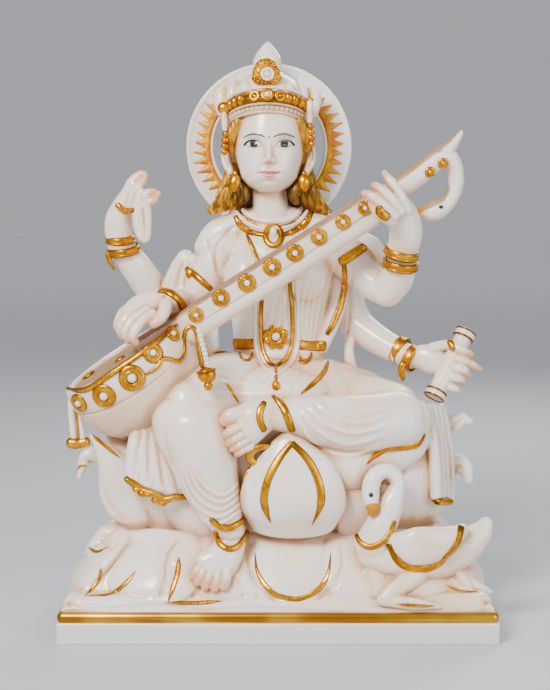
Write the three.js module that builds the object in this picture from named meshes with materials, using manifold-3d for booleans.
// A goddess seated on a lotus, carved with her lute, her swan and her halo from one block of white marble.
// Millimetres, +Z up, the viewer at -Y. The origin is the middle of the underside.
import * as THREE from 'three';
import { mergeVertices } from 'three/addons/utils/BufferGeometryUtils.js';
import Module from 'manifold-3d';

const wasm = await Module();
wasm.setup();
const { Manifold, Mesh } = wasm;

// The base: a plain slab, a gilded bead on its top edge, and a bed of turned-down petals.
const BASE_WIDTH = 442;
const BASE_DEPTH = 240;
const SLAB_HEIGHT = 20;
const BEAD_HEIGHT = 13;
const BED_HEIGHT = 72;
const BED_LEAN = 44;
const PETAL_THICKNESS = 9;

// From the lotus's foot to the crown's tip. Her pose is drawn on a grid that is this tall.
const FIGURE_HEIGHT = 505;
const GRID_HEIGHT = 505;

// Ornament that keeps its own size.
const HALO_RADIUS = 89;
const HALO_OPENING = 62;
const HALO_THICKNESS = 13;
const BANGLE_THICKNESS = 5;
const ROSETTE_RADIUS = 10;
const ROSETTE_HEIGHT = 3;
const ROSETTE_SPACING = 28;
const SCROLL_RADIUS = 9.5;

const BEAD_TOP = SLAB_HEIGHT + BEAD_HEIGHT;
const BED_TOP = BEAD_TOP + BED_HEIGHT;
const UNIT = FIGURE_HEIGHT / GRID_HEIGHT;
const FRONT = new THREE.Vector3(0, -1, 0);
const SKY = new THREE.Vector3(0, 0, 1);
const RIGHT = new THREE.Vector3(1, 0, 0);

// The rings of a bar's domed end, from its last station to its tip, as shares of the bar's half width there.
const DOME_GIRTH = [1, 0.72, 0];
const DOME_REACH = [0, 0.6, 0.85];

// The carving is told in this many triangles.
const TRIANGLES = 9800;

const times = (count, make) => Array.from({ length: count }, (_, i) => make(i));

// A closed geometry as a solid that can be joined and cut.
function solid(geometry) {
  const bare = geometry.clone();
  bare.deleteAttribute('uv');
  bare.deleteAttribute('normal');
  const merged = mergeVertices(bare, 1e-4);
  const triVerts = new Uint32Array(merged.index.array);
  return new Manifold(new Mesh({ numProp: 3, vertProperties: merged.attributes.position.array, triVerts }));
}

const join = (...pieces) => Manifold.union(pieces.flat(5));

// A rounded bar along a smooth line. A station is [x, y, z, half width, half depth], and
// the half depth is measured towards `facing`. The ends are domes.
function limb(stations, sides = 8, rings = stations.length * 2 - 1, facing = FRONT) {
  const spine = new THREE.CatmullRomCurve3(stations.map(([x, y, z]) => new THREE.Vector3(x, y, z)));
  const girth = new THREE.CatmullRomCurve3(stations.map((s) => new THREE.Vector3(s[3], s[4] ?? s[3], 0)));
  const rows = rings + 3;
  const ball = new THREE.SphereGeometry(1, sides, rows);
  const place = ball.attributes.position;
  const across = new THREE.Vector3();
  const outward = new THREE.Vector3();
  const point = new THREE.Vector3();
  for (let i = 0; i < place.count; i++) {
    point.fromBufferAttribute(place, i);
    const row = Math.round((Math.acos(THREE.MathUtils.clamp(point.y, -1, 1)) / Math.PI) * rows);
    const along = THREE.MathUtils.clamp((row - 2) / (rings - 1), 0, 1);
    const past = Math.min(row - 2, 0) || Math.max(row - rings - 1, 0);
    const swell = DOME_GIRTH[Math.abs(past)];
    const dome = Math.sign(past) * DOME_REACH[Math.abs(past)];
    const tangent = spine.getTangent(along);
    const size = girth.getPoint(along);
    const round = Math.hypot(point.x, point.z) || 1;
    across.crossVectors(tangent, facing).normalize();
    outward.crossVectors(across, tangent);
    const wide = (point.x / round) * swell * size.x;
    const deep = (-point.z / round) * swell * size.y;
    point.copy(spine.getPoint(along)).addScaledVector(tangent, dome * Math.min(size.x, size.y));
    point.addScaledVector(across, wide).addScaledVector(outward, deep);
    place.setXYZ(i, point.x, point.y, point.z);
  }
  return solid(ball);
}

// An ellipsoid with its poles up and down, turned by the angles in degrees.
function blob([x, y, z], [rx, ry, rz], turn = [0, 0, 0], wide = 10, high = 7) {
  const euler = new THREE.Euler(...turn.map(THREE.MathUtils.degToRad));
  const ball = new THREE.SphereGeometry(1, wide, high).rotateX(Math.PI / 2).scale(rx, ry, rz);
  ball.applyMatrix4(new THREE.Matrix4().makeRotationFromEuler(euler));
  return solid(ball.translate(x, y, z));
}

// A band round an axis, as a bangle is round an arm. The arm fills it.
function bangle(centre, axis, radius) {
  const hoop = new THREE.CylinderGeometry(radius, radius, BANGLE_THICKNESS / UNIT, 8).rotateX(Math.PI / 2);
  hoop.applyQuaternion(new THREE.Quaternion().setFromUnitVectors(SKY, new THREE.Vector3(...axis).normalize()));
  return solid(hoop.translate(...centre));
}

// A turned shape standing up, from [radius, height] pairs that start and end on the axis.
function turned(profile, sides) {
  const points = profile.map(([r, z]) => new THREE.Vector2(r, z));
  return new THREE.LatheGeometry(points, sides).rotateX(Math.PI / 2);
}

// How far the planes of a point's faces lie from a place, squared and weighted by their area.
function planesOf(a, b, c) {
  const normal = b.clone().sub(a).cross(c.clone().sub(a));
  const area = normal.length() / 2 || 1e-12;
  const { x, y, z } = normal.multiplyScalar(0.5 / area);
  const d = -(x * a.x + y * a.y + z * a.z);
  return [x * x, x * y, x * z, x * d, y * y, y * z, y * d, z * z, z * d, d * d].map((term) => term * area);
}

function strain(q, { x, y, z }) {
  return q[0] * x * x + q[4] * y * y + q[7] * z * z + q[9]
    + 2 * (q[1] * x * y + q[2] * x * z + q[3] * x + q[5] * y * z + q[6] * y + q[8] * z);
}

// Joined forms meet in slivers. This draws points together, those that shape the surface least first,
// until few enough triangles are left. The surface stays closed, and no face turns over.
function thinned(body, most) {
  const { vertProperties, triVerts } = body.getMesh();
  const points = times(vertProperties.length / 3, (i) => new THREE.Vector3().fromArray(vertProperties, i * 3));
  const faces = times(triVerts.length / 3, (i) => Array.from(triVerts.subarray(i * 3, i * 3 + 3)));
  const touching = points.map(() => new Set());
  const planes = points.map(() => new Array(10).fill(0));
  faces.forEach((face, f) => {
    const terms = planesOf(...face.map((v) => points[v]));
    for (const v of face) {
      touching[v].add(f);
      terms.forEach((term, i) => { planes[v][i] += term; });
    }
  });
  const before = new THREE.Vector3();
  const after = new THREE.Vector3();
  const edge = new THREE.Vector3();
  const areaVector = (target, [a, b, c]) => target.subVectors(b, a).cross(edge.subVectors(c, a));

  function turnsOver(f, moved, place) {
    const corners = faces[f].map((v) => points[v]);
    areaVector(before, corners);
    areaVector(after, corners.map((corner, i) => (faces[f][i] === moved ? place : corner)));
    const flat = after.length() < 0.02;
    return flat || after.dot(before) < 0.15 * after.length() * before.length();
  }

  function drawTogether(keep, drop, limit) {
    const sum = planes[keep].map((term, i) => term + planes[drop][i]);
    const middle = points[keep].clone().lerp(points[drop], 0.5);
    const [place, cost] = [points[keep], points[drop], middle]
      .map((spot) => [spot, strain(sum, spot)]).reduce((a, b) => (b[1] < a[1] ? b : a));
    if (cost > limit) return false;
    const shared = [...touching[keep]].filter((f) => touching[drop].has(f));
    const near = new Set([...touching[keep]].flatMap((f) => faces[f]));
    const common = new Set([...touching[drop]].flatMap((f) => faces[f]).filter((v) => near.has(v)));
    if (shared.length !== 2 || common.size !== 4) return false;
    for (const v of [keep, drop]) {
      for (const f of touching[v]) if (!shared.includes(f) && turnsOver(f, v, place)) return false;
    }
    points[keep] = place.clone();
    planes[keep] = sum;
    for (const f of shared) {
      for (const v of faces[f]) touching[v].delete(f);
      faces[f] = null;
    }
    for (const f of touching[drop]) {
      faces[f] = faces[f].map((v) => (v === drop ? keep : v));
      touching[keep].add(f);
    }
    touching[drop].clear();
    return true;
  }

  let left = faces.length;
  for (let limit = 0.01; left > most && limit < 1e6; limit *= 1.5) {
    for (let f = 0; f < faces.length && left > most; f++) {
      for (let k = 0; faces[f] && k < 3; k++) {
        if (drawTogether(faces[f][k], faces[f][(k + 1) % 3], limit)) left -= 2;
      }
    }
  }
  const geometry = new THREE.BufferGeometry();
  geometry.setAttribute('position', new THREE.Float32BufferAttribute(points.flatMap((p) => p.toArray()), 3));
  geometry.setIndex(faces.filter(Boolean).flat());
  return mergeVertices(geometry, 1e-4);
}

// Puts what is drawn on the figure's grid on top of the bed of petals, at its real size.
const onBed = (piece) => piece.scale([UNIT, UNIT, UNIT]).translate([0, 0, BED_TOP]);

// The base

function slab() {
  return solid(new THREE.BoxGeometry(BASE_WIDTH, BASE_DEPTH, SLAB_HEIGHT).translate(0, 0, SLAB_HEIGHT / 2));
}

// Half round on its outer side, all round the slab's top.
function bead() {
  const bulge = BEAD_HEIGHT / 2;
  const outer = [BASE_WIDTH / 2 - bulge, BASE_DEPTH / 2 - bulge];
  const layers = times(5, (i) => {
    const turn = ((i - 2) / 2) * (Math.PI / 2);
    return { out: bulge * Math.cos(turn), rise: bulge * Math.sin(turn) };
  });
  const block = new THREE.BoxGeometry(2, 2, 4, 1, 1, 4);
  const place = block.attributes.position;
  for (let i = 0; i < place.count; i++) {
    const { out, rise } = layers[Math.round(place.getZ(i) + 2)];
    const z = SLAB_HEIGHT + bulge + rise;
    place.setXYZ(i, place.getX(i) * (outer[0] + out), place.getY(i) * (outer[1] + out), z);
  }
  return solid(block);
}

// The core of the bed: its sides lean in from the bead up to the lotus's foot.
function bedCore() {
  const low = [BASE_WIDTH / 2 - PETAL_THICKNESS, BASE_DEPTH / 2 - PETAL_THICKNESS];
  const block = new THREE.BoxGeometry(2, 2, 1, 4, 4, 2);
  const place = block.attributes.position;
  for (let i = 0; i < place.count; i++) {
    const rise = place.getZ(i) + 0.5;
    const [x, y] = [place.getX(i), place.getY(i)];
    const soft = 1 - 0.08 * rise * x * x * y * y;
    const inset = BED_LEAN * rise;
    const z = SLAB_HEIGHT + 1 + rise * (BED_TOP - SLAB_HEIGHT - 3);
    place.setXYZ(i, x * (low[0] - inset) * soft, y * (low[1] - inset) * soft, z);
  }
  return solid(block);
}

// One turned-down petal of the bed, from the lotus's foot down to a lip that lies on the bead.
function bedPetal([topX, topY], [lipX, lipY], width) {
  const out = new THREE.Vector3(lipX - topX, lipY - topY, 0).normalize();
  const at = (share, push, z) => [
    topX + (lipX - topX) * share + out.x * push,
    topY + (lipY - topY) * share + out.y * push,
    z,
  ];
  const drop = BED_TOP - BEAD_TOP;
  const thick = PETAL_THICKNESS;
  return limb([
    [...at(0, -5, BED_TOP - thick * 0.9), width * 0.4, thick],
    [...at(0.42, -2, BEAD_TOP + drop * 0.58), width * 0.52, thick * 1.2],
    [...at(0.8, 0, BEAD_TOP + drop * 0.26), width * 0.46, thick],
    [...at(1, -6, BEAD_TOP + thick * 0.4), width * 0.24, thick * 0.6],
  ], 8, 5, new THREE.Vector3(out.x, out.y, 0.7));
}

function bedPetals() {
  const x = BASE_WIDTH / 2 - PETAL_THICKNESS;
  const y = BASE_DEPTH / 2 - PETAL_THICKNESS;
  const front = [[-0.62, 0.25], [-0.33, 0.2], [0.07, 0.24], [0.42, 0.2], [0.66, 0.2]];
  return front.map(([at, wide]) => [-1, 1].map((side) => bedPetal(
    [-side * at * x * 0.92, side * (y - BED_LEAN)], [-side * at * x, side * y], wide * BASE_WIDTH * 0.9)))
    .concat([-1, 1].map((side) => [-0.55, 0.05, 0.6].map((at) => bedPetal(
      [side * (x - BED_LEAN), at * y * 0.8], [side * x, at * y], BASE_DEPTH * 0.33))));
}

// The lotus

const SEAT = { x: 2, y: 6, across: 178, deep: 92 };

function seat() {
  const bowl = turned([[0, -6], [0.8, -6], [0.84, 14], [0.93, 42], [0.95, 66], [0.91, 94], [0.8, 108], [0, 112]], 20);
  return solid(bowl.scale(SEAT.across, SEAT.deep, 1).translate(SEAT.x, SEAT.y, 0));
}

// A standing petal that starts at the seat's foot, at `angle` degrees round the oval.
function seatPetal(angle, width, height, lean) {
  const turn = THREE.MathUtils.degToRad(angle);
  const [c, s] = [Math.cos(turn), Math.sin(turn)];
  const out = new THREE.Vector3(c / SEAT.across, s / SEAT.deep, 0).normalize();
  const at = (r, z, push) => [
    SEAT.x + c * SEAT.across * r + out.x * push, SEAT.y + s * SEAT.deep * r + out.y * push, z,
  ];
  return limb([
    [...at(0.82, 8, 0), width * 0.34, 9],
    [...at(0.96, height * 0.4, 0), width * 0.5, 12],
    [...at(0.98, height * 0.75, lean * 0.3), width * 0.36, 9],
    [...at(0.97, height, lean), 3, 4],
  ], 8, 5, out);
}

function lotus() {
  const around = [
    [-150, 92, 100, 0], [-120, 78, 84, 0], [-56, 80, 88, 0], [-30, 86, 92, 2], [0, 84, 100, 4], [28, 84, 104, 8],
    [60, 88, 108, 6], [90, 90, 108, 6], [120, 88, 108, 6], [152, 84, 104, 8], [180, 84, 98, 4],
  ];
  const front = limb([
    [14, -84, 8, 42, 14], [14, -94, 34, 50, 20], [13, -95, 66, 43, 18], [12, -94, 92, 22, 12], [12, -92, 107, 3, 6],
  ], 12, 7);
  const curls = [
    limb([[-168, 0, 50, 12, 9], [-190, -4, 66, 10, 8], [-204, -8, 66, 8, 6], [-212, -9, 44, 3, 3]], 5, 5),
    limb([[168, 8, 78, 13, 8], [184, 6, 99, 9, 7], [196, 2, 107, 7, 5], [207, 0, 106, 3, 3]], 5, 4),
    limb([[170, 8, 42, 12, 8], [189, 6, 60, 9, 7], [202, 2, 58, 7, 5], [205, 0, 42, 3, 3]], 5, 5),
  ];
  return [seat(), around.map((petal) => seatPetal(...petal)), front, curls];
}

// Her body

function torso() {
  const trunk = limb([
    [0, 14, 118, 64, 48], [1, 14, 150, 58, 44], [2, 16, 184, 45, 34], [1, 15, 222, 51, 38],
    [-2, 14, 258, 61, 40], [-4, 16, 288, 64, 34], [-6, 18, 308, 38, 24],
  ], 12, 9);
  const breasts = [-31, 25].map((x) => blob([x, -9, 258], [27, 24, 28], [0, 0, 0], 10, 6));
  const neck = limb([[-6, 18, 300, 24, 21], [-7, 14, 322, 19, 18], [-9, 12, 350, 18, 18]], 8, 3);
  const belt = solid(new THREE.CylinderGeometry(1, 1, 8, 12).rotateX(Math.PI / 2).scale(50, 38, 1).translate(2, 16, 186));
  return [trunk, breasts, neck, belt];
}

function legs() {
  return [
    limb([[-24, 14, 132, 46], [-58, -26, 134, 44], [-88, -66, 122, 40], [-104, -82, 116, 26]], 8, 5, SKY),
    limb([
      [-92, -76, 134, 26], [-88, -80, 114, 39], [-78, -84, 88, 37], [-70, -87, 58, 31], [-58, -90, 28, 23], [-48, -91, 4, 15],
    ], 10, 7),
    limb([[30, 14, 132, 46], [84, -14, 134, 44], [122, -44, 126, 36], [136, -54, 120, 22]], 8, 5, SKY),
    limb([[122, -56, 116, 33], [92, -72, 114, 32], [52, -84, 116, 27], [18, -90, 121, 20], [-4, -94, 122, 15]], 8, 5),
    limb([[-60, -24, 108, 30, 36], [0, -42, 104, 32, 40], [74, -36, 100, 34, 40]], 6, 3),
    blob([-8, -24, 134], [74, 52, 32], [0, 0, 0], 10, 6),
    limb([[24, -74, 82, 20, 14], [72, -80, 72, 30, 14], [132, -58, 92, 24, 14]], 6, 4),
  ];
}

// The folds that hang from the knees in rows of swags, and the ends of the cloth that fall over the lotus.
function skirt() {
  const leftFolds = times(3, (i) => limb([
    [114 - i * 10, -78 + i * 3, 104 - i * 15, 4], [64 - i * 3, -110 + i * 6, 94 - i * 19, 5],
    [22 + i * 6, -103 + i * 5, 108 - i * 17, 4],
  ], 4, 4));
  const rightFolds = times(3, (i) => limb([
    [-102 + i * 10, -95 - i, 58 - i * 18, 4], [-74 + i * 7, -117 + i * 5, 36 - i * 15, 5],
    [-42, -98, 56 - i * 18, 4],
  ], 4, 4));
  const leftEnd = times(3, (i) => limb([
    [-106 - i * 9, -58 - i * 2, 112, 9], [-109 - i * 15, -74 + i * 3, 76, 10], [-102 - i * 22, -77 + i * 4, 36 + i * 5, 10],
  ], 5, 3));
  const rightEnd = times(3, (i) => limb([
    [150 + i * 7, -28 + i * 9, 126, 8], [154 + i * 10, -40 + i * 12, 76, 10], [160 + i * 10, -40 + i * 15, 22, 9],
  ], 5, 3));
  return [leftFolds, rightFolds, leftEnd, rightEnd];
}

function feet() {
  const hanging = limb([[-46, -84, 2, 15, 15], [-52, -97, -20, 17, 12], [-58, -105, -38, 19, 9]], 6, 3);
  const hangingToes = times(5, (i) => {
    const [x, r] = [-42 - i * 8.6, i ? 4.3 : 5.8];
    return limb([[x, -106, -36 + i * 1.6, r], [x - 1, -112, -46 + i * 2.4, r], [x - 2, -114, -52 + i * 3, r * 0.8]], 5, 2);
  });
  const folded = limb([[4, -94, 120, 16, 15], [-16, -98, 114, 20, 14], [-30, -100, 106, 25, 12]], 6, 3);
  const foldedToes = times(5, (i) => {
    const [z, r] = [120 - i * 8, i ? 4.3 : 6];
    return limb([[-28, -101, z + 1, r], [-49 + i * 2.4, -105, z - 2, r], [-57 + i * 4.5, -104, z - 5, r * 0.8]], 5, 2);
  });
  const anklets = [
    bangle([-50, -91, 10], [-0.25, -0.2, 1], 20), bangle([-48, -89, -4], [-0.25, -0.45, 1], 18),
    bangle([14, -91, 121], [1, -0.1, -0.1], 22), bangle([-3, -94, 121], [1, 0, 0.1], 19),
  ];
  return [hanging, hangingToes, folded, foldedToes, anklets];
}

// Her arms

function arms() {
  const upperRight = [[-58, 14, 286, 24, 24], [-72, 10, 262, 20], [-88, 6, 232, 17], [-92, -6, 224, 16]];
  const foreRight = [[-94, -8, 224, 16], [-102, -36, 232, 14], [-110, -60, 236, 10]];
  const backUpperRight = [[-60, 34, 272, 22], [-94, 42, 246, 19], [-124, 44, 228, 17]];
  const backForeRight = [[-124, 42, 226, 18], [-144, 32, 254, 16], [-162, 24, 280, 12], [-167, 22, 292, 11]];
  const upperLeft = [[54, 14, 290, 24], [78, 6, 270, 20], [102, -8, 251, 18], [113, -16, 245, 17]];
  const foreLeft = [[114, -18, 244, 18], [125, -32, 260, 16], [128, -46, 284, 12], [127, -50, 292, 12]];
  const backUpperLeft = [[50, 34, 268, 22], [72, 40, 232, 19], [86, 40, 208, 17]];
  const backForeLeft = [[84, 40, 206, 18], [106, 26, 190, 16], [132, 8, 176, 11], [142, 4, 172, 10]];
  const sleeve = times(2, (i) => limb([[-80 - i * 12, 24, 262 - i * 4, 9], [-94 - i * 12, 28, 238 - i * 3, 10]], 5, 2));
  const bangles = [
    bangle([-166, 22, 297], [-0.05, -0.15, 1], 15), bangle([-164, 23, 286], [-0.2, -0.15, 1], 15.5),
    bangle([-108, -56, 236], [-0.3, -0.85, 0.1], 15), bangle([-75, 9, 257], [-0.5, -0.1, -1], 22),
    bangle([128, -48, 288], [-0.1, -0.3, 1], 15.5), bangle([128.5, -43, 277], [-0.1, -0.4, 1], 17),
    bangle([80, 5, 268], [1, -0.4, -0.8], 22), bangle([118, 17, 183], [1, -0.6, -0.5], 18),
    bangle([131, 9, 176], [1, -0.6, -0.5], 15),
  ];
  const bones = [
    [upperRight, SKY], [foreRight, SKY], [backUpperRight, FRONT], [backForeRight, FRONT],
    [upperLeft, SKY], [foreLeft, RIGHT], [backUpperLeft, FRONT], [backForeLeft, SKY],
  ];
  return [bones.map(([stations, facing]) => limb(stations, 7, 4, facing)), sleeve, bangles];
}

const finger = (...stations) => limb(stations, 5, 3);

// The hand that plucks the strings: its fingers bend down over the bowl.
function pluckingHand() {
  const palm = limb([[-108, -60, 237, 13, 11], [-124, -68, 233, 18, 11], [-140, -76, 225, 19, 9]], 6, 3, SKY);
  const fingers = times(4, (i) => finger(
    [-140 + i * 6, -68 - i * 6, 226 - i, 6], [-158 + i * 7, -74 - i * 5, 220 - i * 2, 5.5],
    [-163 + i * 9, -76 - i * 5, 207 - i * 3, 5], [-158 + i * 11, -76 - i * 5, 197 - i * 3, 4],
  ));
  const thumb = finger([-114, -72, 230, 7], [-122, -86, 216, 6], [-128, -90, 204, 5]);
  return [palm, fingers, thumb];
}

// The raised hand, with a garland looped over its fingers.
function raisedHand() {
  const palm = limb([[-166, 22, 292, 12, 11], [-170, 16, 312, 16, 12], [-165, 12, 336, 13, 11]], 6, 3);
  const fingers = [
    finger([-166, 14, 336, 7], [-160, 12, 356, 7], [-143, 10, 367, 4.5]),
    finger([-160, 6, 336, 7], [-154, 4, 352, 6.5], [-141, 2, 360, 5]),
    finger([-154, 2, 334, 6.5], [-142, -2, 348, 6], [-130, -3, 352, 4.5]),
    finger([-152, 0, 326, 6], [-140, -5, 340, 5.5], [-129, -5, 340, 4.5]),
  ];
  const garland = limb([
    [-148, 2, 344, 6, 5], [-151, 2, 322, 6, 5], [-147, 4, 300, 6, 5], [-139, 4, 298, 6, 5], [-137, 3, 320, 6, 5],
    [-139, 2, 342, 6, 5],
  ], 5, 6);
  return [palm, fingers, garland];
}

// The hand that stops the strings: its fingers lie over the lute's neck.
function stoppingHand() {
  const palm = limb([[127, -50, 292, 13, 11], [125, -64, 314, 19, 12], [118, -74, 336, 18, 11]], 6, 3);
  const fingers = times(4, (i) => finger(
    [120 - i * 4, -78, 340 - i * 5, 6.5], [112 - i * 8, -84, 352 - i * 5, 5.5], [103 - i * 6, -76, 363 - i * 8, 4.5],
  ));
  const thumb = finger([114, -78, 322, 7], [103, -86, 326, 6.5], [96, -82, 334, 5]);
  return [palm, fingers, thumb];
}

// The hand that holds a rolled book.
function bookHand() {
  const palm = limb([[142, 3, 172, 11, 10], [158, -2, 168, 17, 10], [170, -6, 166, 16, 9]], 6, 3, SKY);
  const fingers = times(4, (i) => finger(
    [168 - i * 2, -2, 174 - i * 11, 6], [185 - i * 4, -8, 170 - i * 11, 5.5], [194 - i * 7, -16, 165 - i * 9, 4.5],
  ));
  const thumb = finger([158, -8, 180, 6], [172, -16, 186, 6], [184, -20, 180, 5]);
  const top = new THREE.Vector3(200, -14, 200);
  const foot = new THREE.Vector3(161, -18, 130);
  const axis = top.clone().sub(foot);
  const turn = new THREE.Quaternion().setFromUnitVectors(SKY, axis.clone().normalize());
  const roll = (r, from, to) => {
    const rod = new THREE.CylinderGeometry(r, r, (to - from) * axis.length(), 8).rotateX(Math.PI / 2);
    const middle = foot.clone().addScaledVector(axis, (from + to) / 2);
    return solid(rod.applyQuaternion(turn).translate(middle.x, middle.y, middle.z));
  };
  const radius = SCROLL_RADIUS / UNIT;
  return [palm, fingers, thumb, roll(radius, 0, 1), roll(radius + 2, 0, 0.09), roll(radius + 2, 0.9, 1)];
}

// Her head

function head() {
  const face = limb([
    [-9, 10, 436, 30, 31], [-9, 7, 420, 36, 37], [-9, 3, 402, 37, 37], [-9, -1, 384, 35, 33], [-9, -6, 368, 29, 28],
    [-9, -11, 356, 22, 21], [-9, -14, 348, 13, 13],
  ], 14, 10);
  const nose = limb([[-9, -31, 398, 3, 3], [-9, -36, 386, 3.6, 4], [-9, -38, 378, 5.5, 4.5]], 5, 3);
  const lips = limb([[-19, -28, 365, 1.5], [-9, -33, 365, 4], [1, -28, 365, 1.5]], 5, 3, SKY);
  const chin = blob([-9, -24, 352], [9, 7, 7], [0, 0, 0], 8, 5);
  const eyes = [-1, 1].map((side) => blob([-9 + side * 16, -27, 392], [9, 6, 5], [0, 0, side * 14], 8, 5));
  const ears = [-1, 1].map((side) => limb([
    [-9 + side * 39, 8, 392, 4, 7], [-9 + side * 42, 6, 380, 4, 6], [-9 + side * 40, 2, 364, 4, 5],
  ], 5, 3));
  const earrings = [-1, 1].map((side) => blob([-9 + side * 37, -2, 352], [7.5, 6, 12], [0, 0, 0], 6, 4));
  const hair = limb([
    [-9, 24, 428, 38, 26], [-9, 34, 392, 42, 26], [-9, 40, 352, 44, 20], [-7, 40, 312, 52, 22], [-5, 40, 262, 40, 18],
  ], 8, 6);
  const curtains = [-1, 1].map((side) => limb([
    [-9 + side * 35, 0, 404, 6, 8], [-9 + side * 38, 6, 372, 7, 9], [-9 + side * 42, 8, 340, 10, 8],
    [-9 + side * 60, 16, 323, 4, 4],
  ], 5, 5));
  return [face, nose, lips, chin, eyes, ears, earrings, hair, curtains];
}

function crown() {
  const cap = turned([
    [0, -8], [39, -8], [42, -4], [42, 2], [40, 3], [44, 7], [43, 18], [39, 22], [34, 34], [24, 48], [14, 54], [15.5, 60],
    [12, 68], [0, 81],
  ], 16);
  const shell = solid(cap.scale(1, 1.05, 1).translate(-11, 10, 424));
  const boss = blob([-11, -24, 461], [16, 8, 14], [-12, 0, 0], 8, 5);
  const plumes = [-1, 1].map((side) => limb([
    [-11 + side * 40, 2, 438, 6, 8], [-11 + side * 36, 0, 456, 6, 7], [-11 + side * 28, -2, 472, 3, 5],
  ], 5, 3));
  const knob = limb([[31, 0, 424, 4, 5], [34, 0, 440, 5, 6], [33, 0, 456, 4, 5]], 5, 3);
  return [shell, boss, plumes, knob];
}

function halo() {
  const ring = new THREE.Shape().absarc(0, 0, HALO_RADIUS / UNIT, 0, Math.PI * 2);
  ring.holes.push(new THREE.Path().absarc(0, 0, HALO_OPENING / UNIT, 0, Math.PI * 2, true));
  const depth = HALO_THICKNESS / UNIT;
  const plate = new THREE.ExtrudeGeometry(ring, { depth, bevelEnabled: false, curveSegments: 18 });
  return solid(plate.rotateX(Math.PI / 2).translate(-10, 44 + depth, 396));
}

// The lute is drawn in its own frame: `a` along the strings from the middle of the bowl's face,
// `b` out of that face and `c` towards the viewer.
const LUTE = {
  middle: new THREE.Vector3(-161, -60, 178), slope: 32.5, roll: 10,
  bowl: 67, bowlDepth: 46, neckRise: 11, neckDepth: 12, neckHeight: 34, top: 418,
};
const LUTE_FRAME = (() => {
  const slope = THREE.MathUtils.degToRad(LUTE.slope);
  const roll = THREE.MathUtils.degToRad(LUTE.roll);
  const a = new THREE.Vector3(Math.cos(slope), 0, Math.sin(slope));
  const b = new THREE.Vector3(-Math.sin(slope), 0, Math.cos(slope)).multiplyScalar(Math.cos(roll));
  b.y = -Math.sin(roll);
  return new THREE.Matrix4().makeBasis(a, b, a.clone().cross(b)).setPosition(LUTE.middle);
})();
const lute = (a, b, c) => new THREE.Vector3(a, b, c).applyMatrix4(LUTE_FRAME).toArray();

function luteBowl() {
  const bowl = turned([
    [0, -78], [28, -76], [48, -69], [61, -55], [69, -34], [70, -14], [67, 0], [61, 1], [58, -3], [0, -3],
  ], 16);
  bowl.rotateX(-Math.PI / 2).scale(LUTE.bowl / 67, 1, LUTE.bowlDepth / 67);
  return solid(bowl.applyMatrix4(LUTE_FRAME));
}

function luteNeck() {
  const { neckRise, neckDepth, neckHeight, top } = LUTE;
  const section = new THREE.Shape();
  section.moveTo(-neckDepth, neckRise);
  section.lineTo(-neckDepth, neckRise - neckHeight * 0.55);
  section.quadraticCurveTo(-neckDepth, neckRise - neckHeight, 0, neckRise - neckHeight);
  section.quadraticCurveTo(neckDepth, neckRise - neckHeight, neckDepth, neckRise - neckHeight * 0.55);
  section.lineTo(neckDepth, neckRise);
  section.closePath();
  const bar = new THREE.ExtrudeGeometry(section, { depth: 300, steps: 1, curveSegments: 3, bevelEnabled: false });
  bar.rotateY(Math.PI / 2).translate(20, 0, 0);
  const head = limb([
    [...lute(300, neckRise - 14, 0), 13, 11], [...lute(350, neckRise - 15, 0), 14, 11],
    [...lute(388, neckRise - 13, 0), 13, 10], [...lute(top - 8, neckRise - 5, 0), 5, 6],
  ], 6, 5);
  const scroll = limb([
    [...lute(392, -6, 0), 10], [...lute(390, -24, 0), 9], [...lute(380, -39, 0), 8.5], [...lute(365, -48, 0), 8],
    [...lute(351, -48, 0), 9], [...lute(340, -40, 0), 4],
  ], 6, 9);
  return [solid(bar.applyMatrix4(LUTE_FRAME)), head, scroll];
}

// A raised disc with a pearl in the middle, on the lute's face.
function rosette(a, b, c, radius) {
  const disc = new THREE.CylinderGeometry(radius, radius, ROSETTE_HEIGHT * 2, 8).rotateX(Math.PI / 2);
  return solid(disc.translate(a, b, c).applyMatrix4(LUTE_FRAME));
}

function luteOrnament() {
  const { bowl, bowlDepth, neckRise, neckDepth } = LUTE;
  const radius = ROSETTE_RADIUS / UNIT;
  const spacing = ROSETTE_SPACING / UNIT;
  const onNeck = times(Math.floor(220 / spacing), (i) => rosette(94 + i * spacing, neckRise - 13, neckDepth, radius * 0.9));
  const onBowl = [-50, -24, 8].map((a) => {
    const out = bowlDepth * Math.sqrt(1 - (a / (bowl + 3)) ** 2);
    return rosette(a, -14, out, radius * 1.2);
  });
  const tassels = [
    limb([[...lute(93, -16, 13), 4], [...lute(82, -52, 18), 5], [...lute(74, -62, 18), 4]], 5, 3),
    limb([[...lute(-66, -10, 10), 7, 4], [...lute(-86, -42, 12), 8, 4]], 5, 2),
  ];
  const knobs = [[72, -66, 16], [-91, -50, 12]].map(([a, b, c]) => blob(lute(a, b, c), [9, 8, 10], [0, 0, 0], 6, 4));
  const pegs = [[368, -8], [385, -8]].map(([a, b]) => rosette(a, b, 9, radius * 0.6));
  return [onNeck, onBowl, tassels, knobs, pegs];
}

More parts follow.
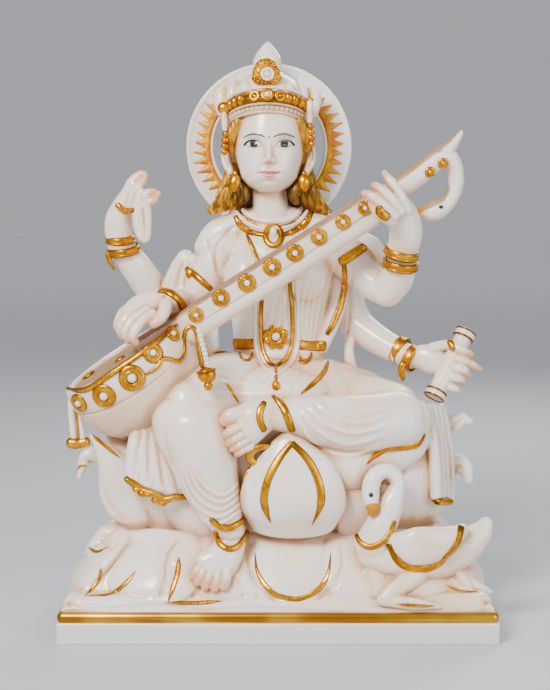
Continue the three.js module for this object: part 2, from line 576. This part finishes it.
// The stole that falls behind her arms
function stole() {
  return [
    limb([[62, 22, 286, 12, 7], [70, 14, 232, 11, 7], [62, 0, 190, 12, 7], [78, -4, 150, 12, 10]], 5, 5),
    limb([[-70, 14, 232, 9, 7], [-72, 8, 190, 9, 7], [-66, -4, 150, 10, 10]], 6, 4),
    limb([[84, 38, 226, 14, 8], [92, 32, 180, 16, 8], [96, 12, 140, 18, 10]], 6, 4),
  ];
}

// The swan, drawn from the middle of its body
function swan() {
  const body = limb([
    [-60, -8, 8, 9, 9], [-52, -8, 4, 16, 17], [-30, -2, -6, 24, 25], [4, 2, -10, 27, 27], [36, 6, -2, 20, 20],
    [56, 12, 18, 13, 12], [64, 14, 30, 10, 9],
  ], 8, 8);
  const neck = limb([
    [-44, -8, 6, 14], [-27, -8, 26, 10], [-22, -8, 50, 8], [-32, -10, 72, 7.5], [-46, -14, 74, 8], [-53, -18, 60, 8],
  ], 6, 9);
  const skull = blob([-53, -21, 58], [10, 11, 15], [0, 8, 0], 7, 5);
  const beak = limb([[-53, -26, 48, 6, 6], [-52, -32, 38, 3.5, 3]], 5, 2);
  const wing = limb([[-30, -24, 2, 8, 6], [-10, -28, -4, 19, 7], [16, -26, 0, 17, 7], [34, -18, 14, 6, 5]], 6, 5);
  const foot = limb([[-2, -14, -34, 9], [-22, -26, -50, 8], [-34, -32, -58, 5]], 5, 3);
  const x = BASE_WIDTH / 2 - 74;
  const y = -BASE_DEPTH / 2 + 36;
  return join(body, neck, skull, beak, wing, foot).translate([x, y, BED_TOP - 18]);
}

const figure = join(
  lotus(), torso(), legs(), skirt(), feet(), arms(), pluckingHand(), raisedHand(), stoppingHand(), bookHand(),
  head(), crown(), halo(), luteBowl(), luteNeck(), luteOrnament(), stole(),
);
const carving = join(slab(), bead(), bedCore(), bedPetals(), onBed(figure), swan());

// Where forms close over a pocket deep inside the block, the marble is solid.
const block = Manifold.compose(carving.decompose().filter((body) => body.volume() > 0));

const surface = thinned(block, TRIANGLES);
surface.computeVertexNormals();

const statue = new THREE.Mesh(surface, new THREE.MeshStandardMaterial({ color: 0xeee8e2, roughness: 0.35 }));
statue.name = 'statue';

const part = new THREE.Group();
part.add(statue);

export default part;
